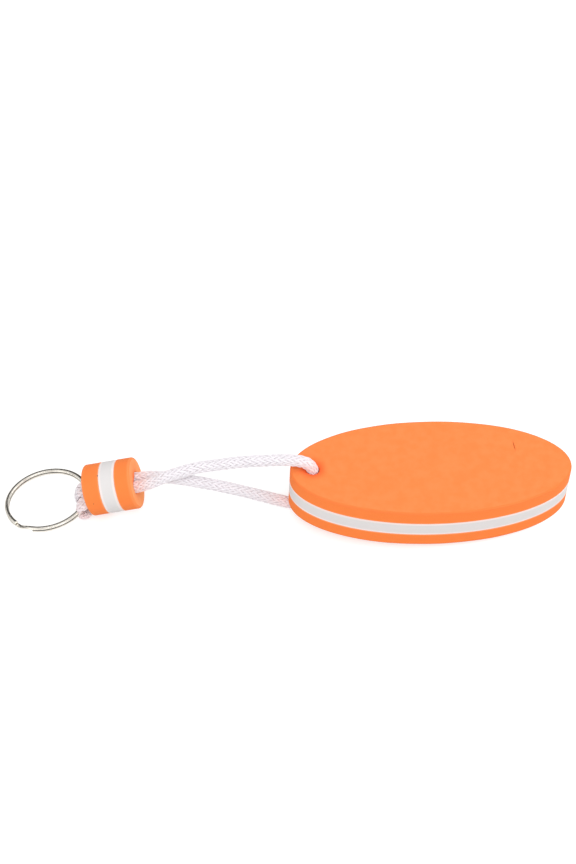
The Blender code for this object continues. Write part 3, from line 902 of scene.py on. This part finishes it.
def build_bead(orange, white):
    """Three bonded discs on edge, closed round the doubled cord, with a mouth pressed open at the hitch."""
    axis = Vector((cos(BEAD_TILT), 0.0, sin(BEAD_TILT)))
    centre = BEAD_FACE + axis * (LAMINATE / 2)
    matrix = Matrix.Translation(centre) @ Euler((0.0, pi / 2 - BEAD_TILT, 0.0)).to_matrix().to_4x4()
    rim, normal = even_ellipse(BEAD_RADIUS, BEAD_RADIUS, BEAD_POINTS)
    bore = bore_outline()

    def hole_at(height):
        mouth = max(0.0, min(1.0, (MOUTH_DEPTH - FACE - height) / MOUTH_DEPTH)) ** MOUTH_CURVE
        lip = 1 + LIP_FLARE * max(0.0, (height - FACE + LIP_DEPTH) / LIP_DEPTH) ** 2
        return bore * lip * (1 - mouth) + rim / BEAD_RADIUS * MOUTH_RADIUS * mouth

    layers = (
        ("ring_side", LOW_SHEET, (BEAD_RING_SIDE_ROUND, BEAD_BOND_ROUND),
         (BEAD_RING_SIDE_RINGS, HIDDEN_FACE_RINGS), orange),
        ("middle", MIDDLE_SHEET, (BEAD_BOND_ROUND, BEAD_BOND_ROUND),
         (HIDDEN_FACE_RINGS, HIDDEN_FACE_RINGS), white),
        ("float_side", HIGH_SHEET, (BEAD_BOND_ROUND, BEAD_FLOAT_SIDE_ROUND),
         (HIDDEN_FACE_RINGS, BEAD_FLOAT_SIDE_RINGS), orange),
    )
    for place, sheet, roundings, face_rings, material in layers:
        obj = foam_layer(
            f"bead_{place}_foam", rim, normal, hole_at, sheet, roundings, face_rings, BEAD_RING_SPREAD,
            bead_shape, matrix, material)
        declare_layer(obj, "bead", f"bead_{place}_layer")


# The split ring

def ring_turn(slope):
    return Euler((RING_ROLL, -slope, 0.0), "XYZ").to_matrix()


def ring_slope():
    """The slope at which the ring, hung at the hitch, touches the ground with its low side."""
    low, high = 0.0, STEEPEST_SLOPE
    for _ in range(SLOPE_HALVINGS):
        slope = (low + high) / 2
        turn = ring_turn(slope)
        up = turn @ Vector((0.0, 0.0, 1.0))
        centre = HITCH - turn @ Vector((COIL_RADIUS, 0.0, 0.0))
        reach = RING_DIAMETER / 2 * sqrt(1 - up.z ** 2) + (COIL_PITCH + WIRE_THICKNESS) / 2 * up.z
        if centre.z - reach > 0:
            low = slope
        else:
            high = slope
    return slope


def wire_outline():
    """The wire's section, a rectangle with well rounded corners, as places across the wire and up."""
    around = np.linspace(0.0, 2 * pi, WIRE_SIDES, endpoint=False)
    cosines, sines = np.cos(around), np.sin(around)
    return np.stack([
        WIRE_WIDTH / 2 * np.sign(cosines) * np.abs(cosines) ** WIRE_SQUARENESS,
        WIRE_THICKNESS / 2 * np.sign(sines) * np.abs(sines) ** WIRE_SQUARENESS], axis=1)


def wire_stations(length):
    """Where along the wire its sections stand, each with its share of the full size."""
    full = np.linspace(FULL_FROM_END, length - FULL_FROM_END, WIRE_STEPS)
    ends = [(length - at, size) for at, size in reversed(WIRE_ENDS)]
    return list(WIRE_ENDS) + [(at, 1.0) for at in full] + ends


def build_ring(material):
    """The flat wire wound nearly twice, with one jog and rounded cut ends."""
    matrix = Matrix.Translation(HITCH) @ ring_turn(ring_slope()).to_4x4()
    matrix = matrix @ Matrix.Translation(Vector((-COIL_RADIUS, 0.0, 0.0)))
    outline = wire_outline()
    edges = running_lengths(outline)
    start = JOG_HALF_LENGTH + END_GAP
    stations = wire_stations((4 * pi - 2 * start) * COIL_RADIUS)
    verts, wires, joint_shades = [], [], []
    for length, size in stations:
        turned = start + length / COIL_RADIUS
        from_jog = (turned - 2 * pi) / JOG_HALF_LENGTH
        climb = max(-1.0, min(1.0, from_jog))
        level = climb * (3 - climb * climb) / 2 * COIL_PITCH / 2
        angle = JOG_ANGLE + turned
        # How much this side of the wire faces the other turn, for the painted shade between the turns
        facing = 1.0 if from_jog < 0 else -1.0
        facing *= max(0.0, min(1.0, abs(from_jog) - 1))
        for (across, up), edge in zip(outline * size, edges):
            radius = COIL_RADIUS + across
            verts.append(tuple(matrix @ Vector((radius * cos(angle), radius * sin(angle), level + up))))
            wires.append((edge, length, 0.0))
            joint_shades.append(max(0.0, facing * up / (WIRE_THICKNESS / 2)))
    obj = mesh_object("split_ring_wire", verts, tube_faces(len(stations), WIRE_SIDES), material)
    obj.data.set_sharp_from_angle(angle=WIRE_SHARP_ANGLE)
    point_attribute(obj, "wire", wires, "FLOAT_VECTOR")
    point_attribute(obj, "joint_shade", joint_shades)
    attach(obj, "ring")
    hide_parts("split_ring")


# Studio

def build_floor():
    shader = Shader(bpy.data.materials.new("floor"))
    strength = shader.strength(FLOOR_SEEN, FLOOR_UNSEEN)
    glow = shader.node("ShaderNodeEmission", {"Color": WHITE, "Strength": strength})
    matte = shader.node("ShaderNodeBsdfDiffuse", {"Color": FLOOR_GREY})
    both = shader.node("ShaderNodeAddShader", {0: glow.outputs[0], 1: matte.outputs[0]})
    shader.set(shader.tree.nodes["Material Output"].inputs["Surface"], both.outputs[0])
    size = FLOOR_HALF_SIZE
    corners = [(-size, -size, 0), (size, -size, 0), (size, size, 0), (-size, size, 0)]
    mesh_object("floor", corners, [(0, 1, 2, 3)], shader.owner)


def build_world():
    world = bpy.data.worlds.new("world")
    bpy.context.scene.world = world
    shader = Shader(world)
    back = shader.tree.nodes["Background"].inputs
    shader.set(back["Color"], WHITE)
    shader.set(back["Strength"], shader.strength(WORLD_SEEN, WORLD_UNSEEN))


def build_lamps():
    """White lamps that face the middle of the ground under the object."""
    for name, place, size, power in LAMPS:
        data = bpy.data.lights.new(name, "AREA")
        data.size = size
        data.energy = power
        lamp = bpy.data.objects.new(name, data)
        lamp.location = place
        lamp.rotation_euler = (-Vector(place)).to_track_quat("-Z", "Y").to_euler()
        bpy.context.scene.collection.objects.link(lamp)


def build_flags():
    """Dark upright arcs that show only in reflections."""
    dark = Shader(bpy.data.materials.new("flag")).finish(Base_Color=FLAG_COLOUR, Roughness=FLAG_ROUGHNESS)
    for name, radius, bottom, top, first, last in FLAGS:
        turns = np.radians(np.linspace(first, last, FLAG_POINTS))
        verts = [
            (FLAG_CENTRE_X + radius * cos(turn), radius * sin(turn), height)
            for turn in turns for height in (bottom, top)]
        faces = [(2 * i, 2 * i + 1, 2 * i + 3, 2 * i + 2) for i in range(FLAG_POINTS - 1)]
        flag = mesh_object(name, verts, faces, dark)
        flag.visible_camera = False
        flag.visible_diffuse = False
        flag.visible_shadow = False
        flag.visible_transmission = False


def studio():
    """A pale floor, soft light from above and all round, and dark flags for the ring."""
    bpy.context.scene.view_settings.view_transform = "Standard"
    build_floor()
    build_world()
    build_lamps()
    build_flags()


camera()
build_cord(braid_material("cord_braid"))
orange_foam = foam_material("orange_foam_skin", ORANGE_FOAM)
# The bead's foam, painted lighter as painted light on its faces, with its dark spots
bead_foam_painted_light = foam_material("bead_foam_painted_light_skin", BEAD_FOAM_PAINTED_LIGHT, BEAD_SPECKS)
white_foam = foam_material("white_foam_skin", WHITE_FOAM)
build_float(orange_foam, white_foam)
build_bead(bead_foam_painted_light, white_foam)
build_ring(nickel_material("nickel_plate"))
studio()
